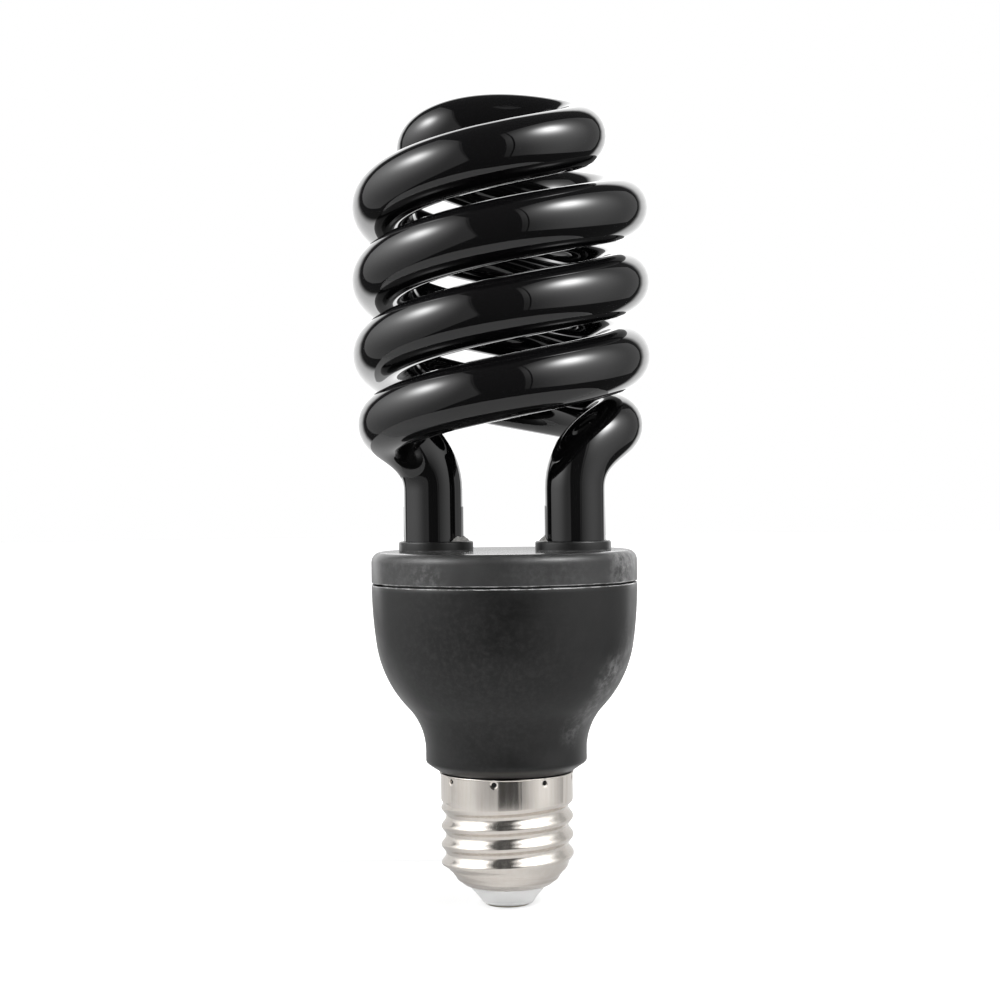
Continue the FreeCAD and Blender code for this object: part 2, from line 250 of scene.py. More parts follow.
def bowlOutline(wall):
    h = housing
    side = math.radians(h["sideAngle"])
    inR, outR, sideR = h["flareIn"], h["flareOut"], h["sideArc"]
    reach = h["neckRadius"] + inR - h["bowlRadius"] + sideR * (1 - math.cos(side)) + outR * math.cos(side)
    flare = math.degrees(math.acos(reach / (inR + outR)))
    outZ = h["seam"] - sideR * math.sin(side) + outR * math.sin(side)
    neckTop = outZ - (inR + outR) * math.sin(math.radians(flare))
    outCentre = h["bowlRadius"] - sideR + (sideR - outR) * math.cos(side)
    neckSteps, flareSteps, sideSteps = h["arcSteps"]
    points = arcRun(h["neckRadius"] + inR, neckTop, inR + wall, 180, 180 - flare, neckSteps)
    points += arcRun(outCentre, outZ, outR - wall, -flare, -h["sideAngle"], flareSteps)[1:]
    points += arcRun(h["bowlRadius"] - sideR, h["seam"], sideR - wall, -h["sideAngle"], 0, sideSteps)[1:]
    return points


def roughenSeam(piece, seed):
    # moulding flash: the corner beside the seam wanders up and down
    h = housing
    longWave, shortWave = h["flashWaves"]
    for vertex in piece.data.vertices:
        gap = abs(vertex.co.z / mm - h["seam"])
        if gap > h["flashReach"] or vertex.co.xy.length < h["flashFrom"] * mm:
            continue
        angle = math.atan2(vertex.co.y, vertex.co.x)
        place = Vector((math.cos(angle), math.sin(angle), 0)) * h["flashRound"]
        drift = noise.noise(place * longWave + Vector((seed, 0, 0)))
        drift += h["flashShort"] * noise.noise(place * shortWave + Vector((0, seed, 0)))
        vertex.co.z += drift * h["flash"] * mm


def buildHousing():
    h = housing
    outer = bowlOutline(0)
    outer[-1] = (h["bowlRadius"], h["seam"] - h["seamBevel"])
    seamLow = h["seam"] - h["seamGap"] / 2
    foot = h["neckFoot"]
    lipInset, lipRise = h["grooveLip"]
    corner = [(h["neckRadius"] - inset, foot + rise * h["neckBevel"]) for inset, rise in h["bevelCorner"]]
    roundInset, roundDrop = h["seamRound"]
    profile = [(h["spigotRadius"] - h["wall"], h["spigotFoot"]), (h["spigotRadius"], h["spigotFoot"]),
               (h["spigotRadius"], foot + h["neckGroove"]),
               (h["footRadius"] - lipInset, foot + h["neckGroove"]),
               (h["footRadius"], foot + lipRise * h["neckGroove"])]
    profile += straightRun(profile[-1], corner[0], 4)
    profile += [corner[1], (h["neckRadius"], foot + h["neckBevel"])]
    profile += straightRun(profile[-1], outer[0], 4)[:-1]
    profile += outer
    profile += [(h["bowlRadius"] - roundInset, seamLow - roundDrop),
                (h["bowlRadius"] - h["seamInset"], seamLow)]
    inner = bowlOutline(h["wall"])
    profile += [(inner[-1][0], seamLow)] + list(reversed(inner))[1:]
    profile += [(h["neckRadius"] - h["wall"], foot + h["neckBevel"] + h["wall"]),
                (h["spigotRadius"] - h["wall"], foot + h["wall"]), profile[0]]
    piece = spinProfile("ballast_bowl", profile, h["steps"])
    roughenSeam(piece, h["flashSeed"])
    smoothShade(piece, 40)
    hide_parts("ballast_housing")
    return piece


lid = {
    "top": 69.6,
    "edgeRadius": 2.0,
    "plate": 1.8,
    "rimRadius": 24.25,
    "rimWall": 1.5,
    "rimDepth": 3.0,
    "collarRadius": 7.4,
    "collarHeight": 1.9,
    "collarInset": 0.45,
    "collarRound": 0.4,
    "collarSink": 1,  # how deep it stands in the plate
    "boreGap": 0.25,
    "boreDepth": 12,
    "roundSteps": 128,
    "flashSeed": 11,
}


def buildCollar(name, side):
    t = glassTube
    deselectAll()
    place = Vector((side * (t["legX"] - lid["collarInset"]), -side * t["legY"], 0)) * mm
    depth = (lid["collarHeight"] + lid["collarSink"]) * mm
    bpy.ops.mesh.primitive_cylinder_add(vertices=lid["roundSteps"], radius=lid["collarRadius"] * mm,
                                        depth=depth, location=(0, 0, 0))
    piece = bpy.context.object
    piece.name = name
    bpy.ops.object.mode_set(mode='EDIT')
    bpy.ops.mesh.select_all(action='SELECT')
    lift = (lid["top"] + lid["collarHeight"] / 2 - lid["collarSink"] / 2) * mm
    bpy.ops.transform.translate(value=place + Vector((0, 0, lift)))
    halfUp = (lid["top"] + lid["collarHeight"] / 2) * mm
    selectEdges(piece, lambda ends: min(end.z for end in ends) > halfUp)
    bpy.ops.mesh.bevel(offset=lid["collarRound"] * mm, segments=4, affect='EDGES')
    bpy.ops.object.mode_set(mode='OBJECT')
    return piece


def buildBore(side):
    t = glassTube
    deselectAll()
    place = Vector((side * t["legX"], -side * t["legY"], lid["top"])) * mm
    radius = (t["radius"] + lid["boreGap"]) * mm
    bpy.ops.mesh.primitive_cylinder_add(vertices=lid["roundSteps"], radius=radius,
                                        depth=lid["boreDepth"] * mm, location=place)
    return bpy.context.object


def buildLid():
    h = housing
    edgeZ = lid["top"] - lid["edgeRadius"]
    edgeR = h["bowlRadius"] - lid["edgeRadius"]
    rimIn = lid["rimRadius"] - lid["rimWall"]
    plateZ = lid["top"] - lid["plate"]
    seamHigh = h["seam"] + h["seamGap"] / 2
    roundInset, roundDrop = h["seamRound"]
    profile = [(0, plateZ), (rimIn, plateZ), (rimIn, h["seam"] - lid["rimDepth"]),
               (lid["rimRadius"], h["seam"] - lid["rimDepth"]), (lid["rimRadius"], seamHigh),
               (h["bowlRadius"] - h["seamInset"], seamHigh),
               (h["bowlRadius"] - roundInset, seamHigh + roundDrop),
               (h["bowlRadius"], h["seam"] + h["seamBevel"])]
    profile += straightRun(profile[-1], (h["bowlRadius"], edgeZ), 6)[:-1]
    profile += arcRun(edgeR, edgeZ, lid["edgeRadius"], 0, 90, 12)
    profile += straightRun(profile[-1], (0, lid["top"]), 6)
    piece = spinProfile("ballast_lid", profile, h["steps"])
    roughenSeam(piece, lid["flashSeed"])
    for side in (-1, 1):
        collar = buildCollar("collar", side)
        applyModifier(piece, 'BOOLEAN', operation='UNION', object=collar, solver='EXACT')
        bpy.data.objects.remove(collar)
    for side in (-1, 1):
        bore = buildBore(side)
        applyModifier(piece, 'BOOLEAN', operation='DIFFERENCE', object=bore, solver='EXACT')
        bpy.data.objects.remove(bore)
    smoothShade(piece, 30)
    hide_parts("housing_lid")
    return piece


cement = {
    "width": 0.95,
    "height": 1.0,
    "slope": [(0.6, 0.02), (0.45, 0.35), (0.1, 0.7)],  # shares of width and height, from the collar up
    "lump": 0.3,
    "lumpGrain": (900, 2600),
    "fineLump": 0.6,
    "heap": 1.5,  # how much wider on the inner side
    "heapFrom": 0.72,  # where the heap starts, as a share of facing inwards
    "heapRun": 0.24,
    "sink": 0.25,  # how far it lies below the collar's top elsewhere
    "sunkRing": (0.15, 0.75),  # where the slope's points go there, in shares of the gap
    "steps": 96,
}


def buildCement(name, node, side):
    t = glassTube
    top = lid["top"] + lid["collarHeight"]
    foot = lid["top"] - lid["plate"]
    outer = t["radius"] + lid["boreGap"]
    profile = [(t["radius"], foot), (outer, foot), (outer, top)]
    for wide, high in cement["slope"]:
        profile.append((outer + wide * cement["width"], top + high * cement["height"]))
    profile += [(t["radius"], top + cement["height"]), (t["radius"], foot)]
    centre = (side * t["legX"], -side * t["legY"])
    piece = spinProfile(name, profile, cement["steps"], centre)
    axis = Vector((centre[0], centre[1], 0)) * mm
    inward = -axis.normalized()
    coarse, fine = cement["lumpGrain"]
    ringStart, ringRun = cement["sunkRing"]
    for vertex in piece.data.vertices:  # piled up on the inner side, sunk in the bore elsewhere
        if vertex.co.z < (top - 0.01) * mm:
            continue
        out = Vector((vertex.co.x - axis.x, vertex.co.y - axis.y, 0))
        lean = smoothStep((out.normalized().dot(inward) - cement["heapFrom"]) / cement["heapRun"])
        lump = noise.noise(vertex.co * coarse) + cement["fineLump"] * noise.noise(vertex.co * fine)
        rise = vertex.co.z - top * mm
        vertex.co.z = (top - cement["sink"] * (1 - lean)) * mm + rise * lean * (1 + cement["lump"] * lump)
        wide = out.length - outer * mm
        if wide > 0:
            heaped = wide * (cement["heap"] + cement["lump"] * lump)
            sunk = -lid["boreGap"] * mm * (ringStart + ringRun * rise / (cement["height"] * mm))
            vertex.co += out.normalized() * (lean * heaped + (1 - lean) * sunk - wide)
    smoothShade(piece, 60)
    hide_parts(node)
    return piece


screwShell = {
    "foot": 3.9,
    "footRadius": 8.2,
    "footTop": 11.05,
    "footBulge": 0.4,
    "footRing": 0.07,  # faint spun rings
    "footRings": 2.5,
    "footSteps": 28,
    "threadStart": 6.9,
    "threadEnd": 20.9,
    "rim": 26.2,
    "pitch": 3.629,
    "crest": 13.04,
    "root": 12.1,
    "rootWide": 0.10,  # roots a little wider than crests
    "phase": 13.72,
    "runIn": 1.4,
    "runOut": 1.3,
    "turns": 2,  # full crests above the one that phase gives
    "lastFade": 0.9,  # radians in which the groove above the last crest dies out
    "skirt": 13.04,
    "bead": 0.2,
    "wall": 0.35,
    "segments": 192,
    "threadSteps": 110,
    "skirtSteps": 14,
    "stakes": 8,
    "stakeFirst": -56,
    "dimpleBall": 1.8,  # a shallow dent with a punched hole in it
    "dimpleDepth": 0.18,
    "punch": 0.5,
    "punchShift": 0.1,  # inwards and up
    "stakeBelowRim": 1.15,
}


def footRun():
    s = screwShell
    count = s["footSteps"]
    low = Vector((s["footRadius"], s["foot"]))
    high = Vector((s["footTop"], s["threadStart"]))
    rise = high - low
    side = Vector((rise.y, -rise.x)).normalized()
    points = []
    for i in range(count + 1):
        share = i / count
        swell = 4 * share * (1 - share) * s["footBulge"]
        swell += s["footRing"] * math.sin(2 * math.pi * s["footRings"] * share) * math.sin(math.pi * share)
        points.append(tuple(low + rise * share + side * swell))
    return points


def buildScrewShell():
    s = screwShell
    profile = footRun()
    profile += straightRun((s["root"], s["threadStart"]), (s["root"], s["threadEnd"]), s["threadSteps"])
    skirtTop = (s["skirt"], s["rim"] - 2 * s["bead"])
    profile += straightRun((s["skirt"], s["threadEnd"]), skirtTop, s["skirtSteps"])
    profile += arcRun(s["skirt"], s["rim"] - s["bead"], s["bead"], -90, 90, 8)[1:]
    piece = spinProfile("screw_cap", profile, s["segments"])
    mean = (s["crest"] + s["root"]) / 2
    swing = (s["crest"] - s["root"]) / 2
    for vertex in piece.data.vertices:  # roll the thread
        z = vertex.co.z / mm
        if not s["threadStart"] + 1e-3 < z <= s["threadEnd"] + 1e-3:
            continue
        runIn = smoothStep((z - s["threadStart"]) / s["runIn"])
        runOut = smoothStep((s["threadEnd"] - z) / s["runOut"])
        angle = math.atan2(vertex.co.y, vertex.co.x)
        wave = math.cos(angle - 2 * math.pi * (z - s["phase"]) / s["pitch"])
        wave -= s["rootWide"] * (1 - wave * wave)
        depth = swing * (1 - wave) * runIn * runOut
        lastCrest = s["phase"] + s["pitch"] * (angle / (2 * math.pi) + s["turns"])
        if z > lastCrest:  # the last crest runs into the skirt
            depth *= 1 - smoothStep((angle + math.pi) / s["lastFade"])
        radius = s["skirt"] + (s["crest"] - s["skirt"]) * runOut - depth
        radius -= (mean - s["footTop"]) * (1 - runIn)
        vertex.co.x = radius * math.cos(angle) * mm
        vertex.co.y = radius * math.sin(angle) * mm
    applyModifier(piece, 'SOLIDIFY', thickness=s["wall"] * mm, offset=-1)
    for i in range(s["stakes"]):
        angle = math.radians(s["stakeFirst"] - 90 + 360 / s["stakes"] * i)
        way = Vector((math.cos(angle), math.sin(angle), 0))
        level = Vector((0, 0, s["rim"] - s["stakeBelowRim"]))
        dent = way * (s["skirt"] + s["dimpleBall"] - s["dimpleDepth"]) + level
        hole = way * (s["skirt"] - s["punchShift"]) + level + Vector((0, 0, s["punchShift"]))
        for place, radius in ((dent, s["dimpleBall"]), (hole, s["punch"])):
            deselectAll()
            bpy.ops.mesh.primitive_uv_sphere_add(segments=32, ring_count=20, radius=radius * mm,
                                                 location=place * mm)
            punch = bpy.context.object
            applyModifier(piece, 'BOOLEAN', operation='DIFFERENCE', object=punch, solver='EXACT')
            bpy.data.objects.remove(punch)
    smoothShade(piece, 35)
    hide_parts("screw_shell")
    return piece


capTip = {
    "tipRadius": 5.25,
    "lip": 0.3,
    "tipRound": 0.7,
    "tipCorner": 0.12,
    "tipSteps": 8,
    "coneRadius": 7.45,
    "coneTop": 3.52,
    "plugRadius": 10.0,
    "plugTop": 6.6,
    "plugEdge": 0.8,
    "cupTop": 8.4,
    "cupFoot": 3.0,
    "cupFloor": 3.2,
    "wireHole": 1.0,
    "contactRadius": 4.3,
    "contactThick": 0.8,
    "contactRound": 0.25,
    "steps": 160,
}


def buildInsulator():
    c = capTip
    s = screwShell
    low = Vector((c["contactRadius"], c["lip"]))
    high = Vector((c["tipRadius"], c["lip"] + c["tipRound"]))
    corner = Vector((c["tipRadius"] - c["tipCorner"], c["lip"]))
    profile = []
    for i in range(c["tipSteps"] + 1):
        u = i / c["tipSteps"]
        profile.append(tuple(low * (1 - u) ** 2 + corner * (2 * u * (1 - u)) + high * u ** 2))
    profile += straightRun(profile[-1], (c["coneRadius"], c["coneTop"]), 8)
    profile += [(s["footRadius"], s["foot"]), (s["footRadius"], s["foot"] + s["wall"]),
                (c["plugRadius"], c["plugTop"] - c["plugEdge"]), (c["plugRadius"], c["plugTop"]),
                (c["cupTop"], c["plugTop"]), (c["cupFoot"], c["cupFloor"]), (c["wireHole"], c["cupFloor"]),
                (c["wireHole"], c["contactThick"]), (c["contactRadius"], c["contactThick"]), profile[0]]
    piece = spinProfile("white_insulator", profile, c["steps"])
    smoothShade(piece, 30)
    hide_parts("base_insulator")
    return piece


def buildContact():
    c = capTip
    edge = c["contactRadius"] - c["contactRound"]
    profile = [(0, 0)]
    profile += straightRun((0, 0), (edge, 0), 4)
    profile += arcRun(edge, c["contactRound"], c["contactRound"], -90, 0, 6)[1:]
    profile += [(c["contactRadius"], c["contactThick"]), (0, c["contactThick"])]
    piece = spinProfile("tip_contact", profile, c["steps"])
    smoothShade(piece, 40)
    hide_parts("centre_contact")
    return piece


class Finish:  # a material and short ways to add nodes to it
    def __init__(self, name):
        self.material = bpy.data.materials.new(name)
        self.material.use_nodes = True
        self.nodes = self.material.node_tree.nodes
        self.links = self.material.node_tree.links
        self.shader = self.nodes["Principled BSDF"]
        self.place = self.nodes.new('ShaderNodeTexCoord').outputs["Object"]

    def add(self, kind, **inputs):
        node = self.nodes.new(kind)
        for key, value in inputs.items():
            self.feed(node.inputs[key.replace("_", " ")], value)
        return node

    def feed(self, socket, value):
        if isinstance(value, bpy.types.NodeSocket):
            self.links.new(value, socket)
        else:
            socket.default_value = value

    def noise(self, scale, detail=3.0, rough=0.55, stretch=None):
        place = self.place
        if stretch:
            place = self.add('ShaderNodeMapping', Vector=self.place, Scale=stretch).outputs[0]
        node = self.add('ShaderNodeTexNoise', Vector=place, Scale=scale, Detail=detail, Roughness=rough)
        return node.outputs["Fac"]

    def ramp(self, value, low, high, toLow=0.0, toHigh=1.0):
        node = self.nodes.new('ShaderNodeMapRange')
        node.interpolation_type = 'SMOOTHSTEP'
        keys = ("Value", "From Min", "From Max", "To Min", "To Max")
        for key, number in zip(keys, (value, low, high, toLow, toHigh)):
            self.feed(node.inputs[key], number)
        return node.outputs["Result"]

    def sum(self, kind, first, second):
        node = self.nodes.new('ShaderNodeMath')
        node.operation = kind
        self.feed(node.inputs[0], first)
        self.feed(node.inputs[1], second)
        return node.outputs[0]

    def mix(self, share, first, second):
        node = self.nodes.new('ShaderNodeMix')
        node.data_type = 'RGBA'
        self.feed(node.inputs["Factor"], share)
        self.feed(node.inputs["A"], first)
        self.feed(node.inputs["B"], second)
        return node.outputs["Result"]

    def near(self, point, inner, outer):  # 1 at a point in mm, 0 past the outer reach
        node = self.nodes.new('ShaderNodeVectorMath')
        node.operation = 'DISTANCE'
        self.feed(node.inputs[0], self.place)
        node.inputs[1].default_value = [c * mm for c in point]
        return self.ramp(node.outputs["Value"], inner * mm, outer * mm, 1.0, 0.0)

    def height(self):
        return self.add('ShaderNodeSeparateXYZ', Vector=self.place).outputs["Z"]

    def around(self):  # distance from the lamp's axis
        node = self.nodes.new('ShaderNodeVectorMath')
        node.operation = 'LENGTH'
        level = self.add('ShaderNodeMapping', Vector=self.place, Scale=(1, 1, 0))
        self.feed(node.inputs[0], level.outputs[0])
        return node.outputs["Value"]

    def bump(self, value, strength, distance):
        node = self.add('ShaderNodeBump', Strength=strength, Distance=distance * mm, Height=value)
        self.feed(self.shader.inputs["Normal"], node.outputs[0])

    def set(self, **inputs):
        for key, value in inputs.items():
            self.feed(self.shader.inputs[key.replace("_", " ")], value)


def grey(value):
    return (value, value, value, 1)


glassLook = {
    "dark": (0.0016, 0.0016, 0.0017, 1),
    "pale": (0.0030, 0.0029, 0.0032, 1),
    "roughness": (0.018, 0.045),
    "ior": 1.52,
    "waves": 0.02,
}


def blackGlass():
    look = glassLook
    f = Finish("black glass")
    cloud = f.noise(45, 2)
    f.set(Base_Color=f.mix(cloud, look["dark"], look["pale"]))
    smear = f.ramp(f.noise(140, 4), 0.35, 0.75, *look["roughness"])
    f.set(Roughness=smear, IOR=look["ior"])
    f.bump(f.noise(70, 1), look["waves"], 1.0)
    return f.material


plasticLook = {
    "bowl": {"dark": 0.0055, "pale": 0.0088, "roughness": (0.30, 0.40), "gloss": 0.31, "topSheen": 1.0},
    "lid": {"dark": 0.019, "pale": 0.029, "roughness": (0.34, 0.44), "gloss": 0.42, "topSheen": 0.35},
    "dust": 0.22,
    "dustDull": 0.12,  # roughness that the dust adds
    "flash": 0.40,
    "collarFoot": (0.05, 0.3),  # above the lid's top
    "seamBand": (0.28, 0.42),  # above and below the seam
    "seamFace": (0.18, 0.08),  # inside the bowl's radius
}


def blackPlastic(name, kind, dustSpots):
    look = plasticLook[kind]
    f = Finish(name)
    cloud = f.noise(110, 5, 0.6)
    grain = f.noise(2400, 2)
    height = f.height()
    colour = f.mix(f.ramp(cloud, 0.3, 0.7), grey(look["dark"]), grey(look["pale"]))
    dust = None
    for point, inner, outer, scale, amount in dustSpots:
        speck = f.ramp(f.noise(scale, 7, 0.72), 0.40, 0.68)
        spot = f.sum('MULTIPLY', f.near(point, inner, outer), f.sum('MULTIPLY', speck, amount))
        dust = spot if dust is None else f.sum('MAXIMUM', dust, spot)
    collarLow, collarHigh = plasticLook["collarFoot"]
    collar = f.ramp(height, (lid["top"] + collarLow) * mm, (lid["top"] + collarHigh) * mm)
    dust = f.sum('MULTIPLY', dust, f.sum('SUBTRACT', 1.0, collar))  # the collars stay clean
    colour = f.mix(collar, colour, grey(plasticLook["bowl"]["dark"]))
    colour = f.mix(dust, colour, grey(plasticLook["dust"]))
    offSeam = f.sum('ABSOLUTE', f.sum('SUBTRACT', height, housing["seam"] * mm), 0.0)
    bandIn, bandOut = plasticLook["seamBand"]
    seamBand = f.ramp(offSeam, bandIn * mm, bandOut * mm, 1.0, 0.0)
    faceIn, faceOut = [housing["bowlRadius"] - inset for inset in plasticLook["seamFace"]]
    outside = f.ramp(f.around(), faceIn * mm, faceOut * mm)
    chips = f.sum('MULTIPLY', f.ramp(f.noise(420, 6, 0.7), 0.40, 0.58, 0.25, 1.0), outside)  # none in the gap
    flash = f.sum('MULTIPLY', seamBand, chips)
    f.set(Base_Color=f.mix(flash, colour, grey(plasticLook["flash"])))
    low, high = look["roughness"]
    facing = f.nodes.new('ShaderNodeNewGeometry').outputs["Normal"]
    flat = f.add('ShaderNodeSeparateXYZ', Vector=facing).outputs["Z"]
    rough = f.sum('ADD', f.ramp(cloud, 0.3, 0.7, low, high), f.sum('MULTIPLY', dust, plasticLook["dustDull"]))
    f.set(Roughness=f.sum('MULTIPLY', rough, f.ramp(flat, 0.90, 0.99, 1.0, look["topSheen"])))
    f.set(Specular_IOR_Level=look["gloss"])
    f.bump(f.sum('ADD', grain, f.sum('MULTIPLY', cloud, 0.6)), 0.10, 0.05)
    return f.material


nickelLook = {
    "dark": (0.69, 0.645, 0.595, 1),
    "pale": (0.73, 0.69, 0.645, 1),
    "cloud": (0.63, 0.58, 0.53, 1),
    "spunRingsAndReflection": (0.56, 0.52, 0.49, 1),  # darker rings on the foot: spun marks and a painted reflection
    "footTop": (6.2, 7.2),
    "roughness": (0.13, 0.23),
    "skirtFoot": (18.6, 19.6),
    "skirtSheen": 0.42,  # the skirt is brighter than the rolled thread
    "brushed": 0.018,
}


def nickelPlate():
    look = nickelLook
    f = Finish("nickel plate")
    streak = f.noise(1100, 4, 0.6, (1, 1, 0.06))
    cloud = f.noise(160, 4)
    colour = f.mix(f.ramp(streak, 0.3, 0.7), look["dark"], look["pale"])
    colour = f.mix(f.ramp(cloud, 0.5, 0.8, 0.0, 0.5), colour, look["cloud"])
    # darker rings mixed into the foot's colour: spun marks and a painted reflection
    spunRingsAndReflection = f.ramp(f.noise(1600, 2, 0.5, (0.03, 0.03, 1)), 0.4, 0.6, 0.0, 0.6)
    footLow, footHigh = look["footTop"]
    foot = f.ramp(f.height(), footLow * mm, footHigh * mm, 1.0, 0.0)
    colour = f.mix(f.sum('MULTIPLY', spunRingsAndReflection, foot), colour, look["spunRingsAndReflection"])
    skirtLow, skirtHigh = look["skirtFoot"]
    sheen = f.ramp(f.height(), skirtLow * mm, skirtHigh * mm, 1.0, look["skirtSheen"])
    rough = f.sum('MULTIPLY', f.ramp(streak, 0.25, 0.75, *look["roughness"]), sheen)
    f.set(Base_Color=colour, Metallic=1.0, Roughness=rough)
    f.bump(streak, look["brushed"], 0.05)
    return f.material


insulatorLook = {
    "dark": (0.87, 0.87, 0.865, 1),
    "pale": (0.93, 0.93, 0.925, 1),
    "roughness": (0.28, 0.4),
}


def whiteInsulator():
    look = insulatorLook
    f = Finish("white insulator")
    cloud = f.noise(260, 4)
    f.set(Base_Color=f.mix(cloud, look["dark"], look["pale"]))
    f.set(Roughness=f.ramp(cloud, 0.3, 0.7, *look["roughness"]))
    f.bump(f.noise(1500, 3), 0.05, 0.05)
    return f.material


cementLook = {
    "dark": (0.27, 0.265, 0.255, 1),
    "pale": (0.50, 0.49, 0.47, 1),
    "roughness": (0.6, 0.85),
}


def paleCement():
    look = cementLook
    f = Finish("pale cement")
    cloud = f.noise(700, 6, 0.65)
    f.set(Base_Color=f.mix(f.ramp(cloud, 0.35, 0.65), look["dark"], look["pale"]))
    f.set(Roughness=f.ramp(cloud, 0.3, 0.7, *look["roughness"]))
    f.bump(cloud, 0.5, 0.2)
    return f.material


innerLook = {  # colours in pairs, roughness, metal, grain per metre
    "board": ((0.22, 0.13, 0.05), (0.30, 0.19, 0.08), 0.55, 0.0, 500),
    "sleeve": ((0.012, 0.014, 0.03), (0.02, 0.022, 0.045), 0.35, 0.0, 300),
    "ferrite": ((0.035, 0.033, 0.032), (0.06, 0.057, 0.055), 0.6, 0.0, 1500),
    "copper": ((0.48, 0.16, 0.06), (0.62, 0.24, 0.10), 0.3, 1.0, 2500),
    "epoxy": ((0.012, 0.012, 0.013), (0.022, 0.022, 0.024), 0.5, 0.0, 1200),
    "film": ((0.30, 0.05, 0.02), (0.40, 0.08, 0.03), 0.4, 0.0, 700),
    "resistor": ((0.20, 0.26, 0.28), (0.28, 0.34, 0.36), 0.5, 0.0, 900),
    "tinned": ((0.55, 0.55, 0.56), (0.68, 0.68, 0.69), 0.3, 1.0, 2000),
    "brass": ((0.55, 0.47, 0.34), (0.66, 0.57, 0.42), 0.35, 1.0, 1200),
}


def innerFinish(kind):
    dark, pale, roughness, metal, scale = innerLook[kind]
    f = Finish("inner " + kind)
    cloud = f.noise(scale, 5)
    f.set(Base_Color=f.mix(f.ramp(cloud, 0.3, 0.7), (*dark, 1), (*pale, 1)), Metallic=metal,
          Roughness=f.ramp(cloud, 0.3, 0.7, roughness - 0.06, roughness + 0.06))
    f.bump(cloud, 0.15, 0.05)
    return f.material


innerNodes = {
    "circuit_board": "board",
    "smoothing_capacitor": "sleeve",
    "choke_core": "ferrite",
    "choke_winding": "copper",
    "drive_toroid": "ferrite",
    "power_transistor": "epoxy",
    "film_capacitor": "film",
    "fuse_resistor": "resistor",
    "rectifier_diode": "epoxy",
    "filament_lead": "tinned",
    "live_lead": "tinned",
    "neutral_lead": "tinned",
}


def dress(piece, material):
    piece.data.materials.clear()
    piece.data.materials.append(material)


def dressInnerNodes():
    made = {kind: innerFinish(kind) for kind in sorted(set(innerNodes.values()))}
    for name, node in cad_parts.items():
        for start, kind in innerNodes.items():
            if name.startswith(start):
                dress(node, made[kind])


tube = buildGlassTube()
print("glass tube:", len(tube.data.polygons), "faces")
bowl = buildHousing()
print("bowl:", len(bowl.data.polygons), "faces")
cover = buildLid()
print("lid:", len(cover.data.polygons), "faces")
cementLeft = buildCement("cement_left", "leg_cement_left", -1)
cementRight = buildCement("cement_right", "leg_cement_right", 1)
shell = buildScrewShell()
print("screw shell:", len(shell.data.polygons), "faces")
insulator = buildInsulator()
contact = buildContact()

glass = blackGlass()
bowlDust = [  # place in mm, full and outer reach, grain, amount
    ((21.5, -11.5, 44.6), 1, 8, 420, 0.85),
    ((18.5, -10, 38.5), 0, 8, 520, 0.75),
    ((15, -12.5, 35), 0, 6, 620, 0.6),
    ((24.5, -6, 50), 0, 10, 420, 0.55),
    ((25.4, 2, 47), 0, 9, 380, 0.35),
    ((-8, -24, 45), 6, 30, 900, 0.05),
]
lidDust = [
    ((23.5, -11, 66.2), 2, 9, 330, 1.0),
    ((-15, -21.5, 64.4), 1, 6, 700, 0.35),
    ((0, 0, 69.6), 12, 24.5, 520, 0.45),
    ((-20, -16, 66), 2, 12, 700, 0.14),
    ((8, -25, 65), 2, 16, 800, 0.08),
]
bowlPlastic = blackPlastic("bowl plastic", "bowl", bowlDust)
lidPlastic = blackPlastic("lid plastic", "lid", lidDust)
nickel = nickelPlate()
pale = paleCement()
dress(tube, glass)
dress(bowl, bowlPlastic)
dress(cover, lidPlastic)
dress(cementLeft, pale)
dress(cementRight, pale)
dress(shell, nickel)
dress(insulator, whiteInsulator())
dress(contact, innerFinish("brass"))
dressInnerNodes()
slots = {
    tube: "black_glass",
    bowl: "housing_plastic",
    cover: "lid_plastic",
    cementLeft: "cement",
    cementRight: "cement",
    shell: "nickel",
    insulator: "white_insulator",
    contact: "brass",
}
for piece, slot in slots.items():
    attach(piece, "root")
print("materials on")


studio = {
    "leftPanel": [(-0.60, -2.60, -0.48), (-0.60, -0.60, 1.34), (-0.60, 0.40, -0.48), (-0.60, 0.45, 1.34)],
    "rightPanel": [(0.48, -1.25, -0.40), (0.05, -1.00, 1.77), (2.00, 1.42, -0.40), (1.60, 1.67, 1.77)],
    "glow": 0.50,
    "frontGlow": 0.6,  # share of it at a panel's front edge
    "frontFade": 0.3,
    "leftLine": (0.090, 0.125),  # dark line across a panel, a share from its front edge
    "rightLine": (0.036, 0.050),
    "lineFront": 0.85,  # share of the light before the line
    "leftSpots": [  # place, reach, strength
        ((-0.60, -0.17, 0.54), 0.42, 3.2),
        ((-0.60, -0.17, 0.54), 0.16, 14.0),
    ],
    "rightSpots": [
        ((0.625, -0.40, 0.90), 0.55, 3.0),
        ((0.625, -0.40, 0.90), 0.23, 21.0),
        ((0.92, -0.34, -0.10), 0.6, 0.45),
    ],
    "floorNear": 0.14,
    "floorFar": 3.0,
    "floorFade": 0.03,  # from here out to floorNear the floor turns white
    "floorGlow": (0.48, 1.0),
    "backdrop": 2.2,  # as glass and metal see it
    "backdropFrom": (0.66, 0.78),
    "inside": 0.35,  # share left of it after a second reflection, deep in the coil
    "front": 0.07,
    "floorTone": 0.50,
    "card": [(-0.13, 0), (0.13, 0), (-0.034, 0.078), (0.034, 0.078)],
    "cardBack": 0.045,  # close behind the lamp, for the metal's edges
    "cardTone": 0.82,
    "ambient": 0.45,
}


